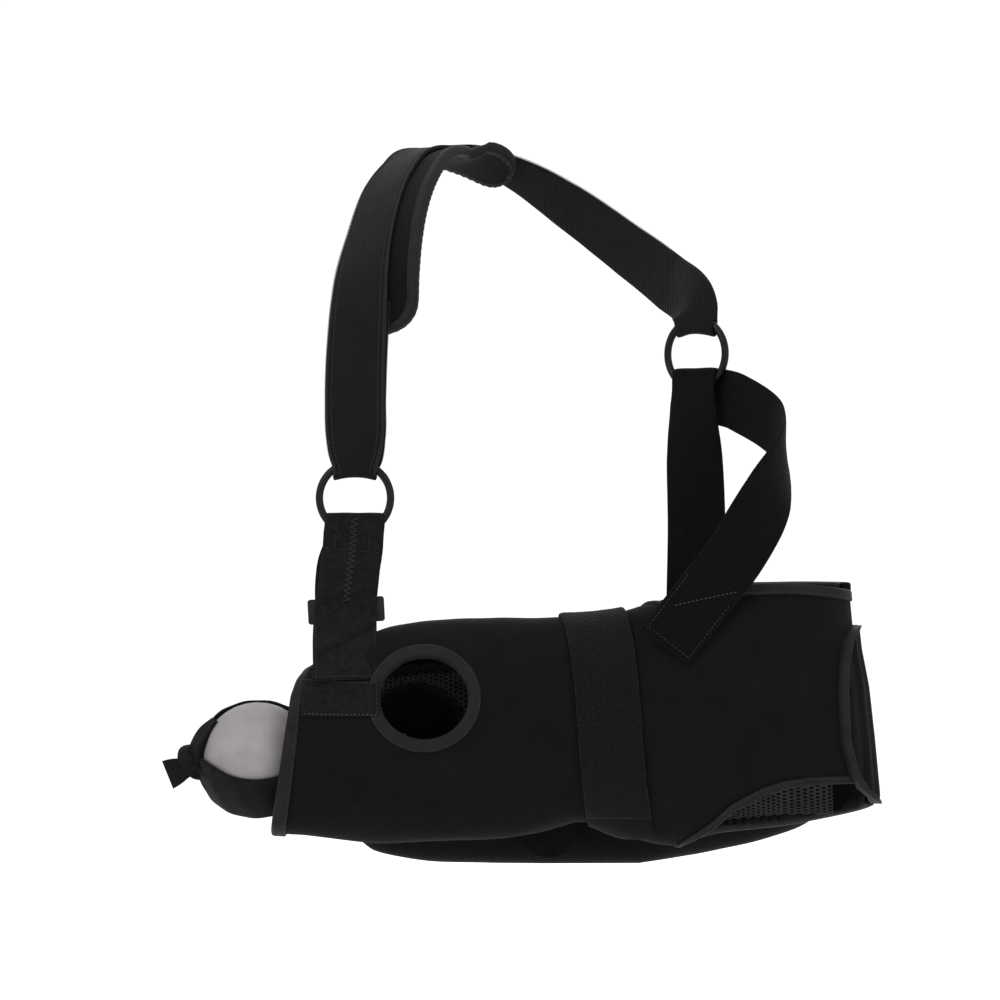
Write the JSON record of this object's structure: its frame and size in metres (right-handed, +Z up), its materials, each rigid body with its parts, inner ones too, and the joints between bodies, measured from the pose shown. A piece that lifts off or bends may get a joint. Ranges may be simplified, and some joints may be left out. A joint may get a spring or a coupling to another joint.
{
  "type": "arm sling",
  "caption": "Worn arm sling: forearm pouch with hand and elbow cut-outs, body pillow, padded neck strap on two rings, slide buckle and a tethered hand exercise ball.",
  "frame": {"origin": "shoulder seat: the point under the shoulder pad at the top of the neck strap, where the sling hangs from the wearer", "axes": "+Z up as worn, +X along the forearm from the hand to the elbow, -Y is the outer face of the pouch and +Y is towards the wearer's body"},
  "size_m": [0.4781, 0.2561, 0.5083],
  "materials": {
    "laminate": "matte knitted loop fabric laminate with fine vertical wales",
    "spacer_mesh": "open spacer mesh with diamond holes",
    "binding": "folded elastic binding tape with a stitch line",
    "webbing": "soft brushed loop webbing",
    "pile_band": "fuzzy unbroken loop pile",
    "hook_tape": "hook tape",
    "strap_fleece": "brushed fleece strap with overlocked edges",
    "pad_fabric": "padded fabric",
    "pillow_fabric": "matte knitted loop fabric over foam",
    "foam": "open-cell foam",
    "ring_metal": "black coated, semi-gloss",
    "buckle_plastic": "moulded black plastic, semi-matte",
    "ball_foam": "fine-grained grey foam rubber"
  },
  "bodies": {
    "sling": {"outer_panel": "laminate", "inner_panel": "laminate", "outer_mesh_lining": "spacer_mesh", "inner_mesh_lining": "spacer_mesh", "hand_end_binding": "binding", "outer_hole_binding": "binding", "inner_hole_binding": "binding", "outer_top_binding": "binding", "inner_top_binding": "binding", "elbow_cut_out_binding": "binding", "anchor_patch": "webbing", "closure_band_back": "pile_band", "band_end_tab": "hook_tape", "elbow_wrap": "laminate", "adjuster_strap": "webbing", "front_outer_leg": "webbing", "front_inner_leg": "webbing", "rear_outer_leg": "webbing", "rear_inner_leg": "webbing", "neck_strap": "strap_fleece", "neck_strap_end": "strap_fleece", "shoulder_pad": "pad_fabric", "shoulder_pad_binding": "binding", "pillow_core": "foam", "pillow_cover": "pillow_fabric", "pillow_loop_strip": "pile_band", "pillow_hook_strip": "hook_tape", "tether_anchor": "webbing"},
    "front_ring": {"front_ring": "ring_metal"},
    "rear_ring": {"rear_ring": "ring_metal"},
    "slide_buckle": {"slide_buckle": "buckle_plastic"},
    "elbow_flap": {"elbow_flap": "laminate", "elbow_flap_binding": "binding"},
    "closure_band": {"closure_band": "pile_band", "closure_hook_tab": "hook_tape"},
    "ball_strap": {"ball_strap": "webbing", "ball_knot": "webbing", "ball_strap_tail": "webbing", "ball_tether": "webbing"},
    "exercise_ball": {"exercise_ball": "ball_foam"}
  },
  "joints": [
    {"name": "front_ring_turn", "type": "hinge", "parent": "sling", "child": "front_ring", "pos_m": [-0.0486, -0.167, -0.2411], "axis": [0, -1, 0], "continuous": true},
    {"name": "rear_ring_turn", "type": "hinge", "parent": "sling", "child": "rear_ring", "pos_m": [0.187, -0.088, -0.1405], "axis": [0.6, 0.8, 0], "continuous": true},
    {"name": "buckle_slide", "type": "slide", "parent": "sling", "child": "slide_buckle", "axis": [0.1, 0, 0.995], "range_m": [0, 0.02]},
    {"name": "elbow_flap_open", "type": "hinge", "parent": "sling", "child": "elbow_flap", "pos_m": [0.2975, -0.155, -0.3945], "axis": [0, 0, 1], "range_deg": [0, 100]},
    {"name": "closure_band_open", "type": "hinge", "parent": "sling", "child": "closure_band", "pos_m": [0.114, -0.169, -0.3175], "axis": [-1, 0, 0], "range_deg": [0, 120]},
    {"name": "ball_strap_swing", "type": "hinge", "parent": "sling", "child": "ball_strap", "pos_m": [-0.055, -0.14, -0.4165], "axis": [0, 1, 0], "range_deg": [0, 20]},
    {"name": "ball_turn", "type": "hinge", "parent": "ball_strap", "child": "exercise_ball", "pos_m": [-0.115, -0.162, -0.4188], "axis": [0, -0.6947, 0.7193], "continuous": true}
  ]
}
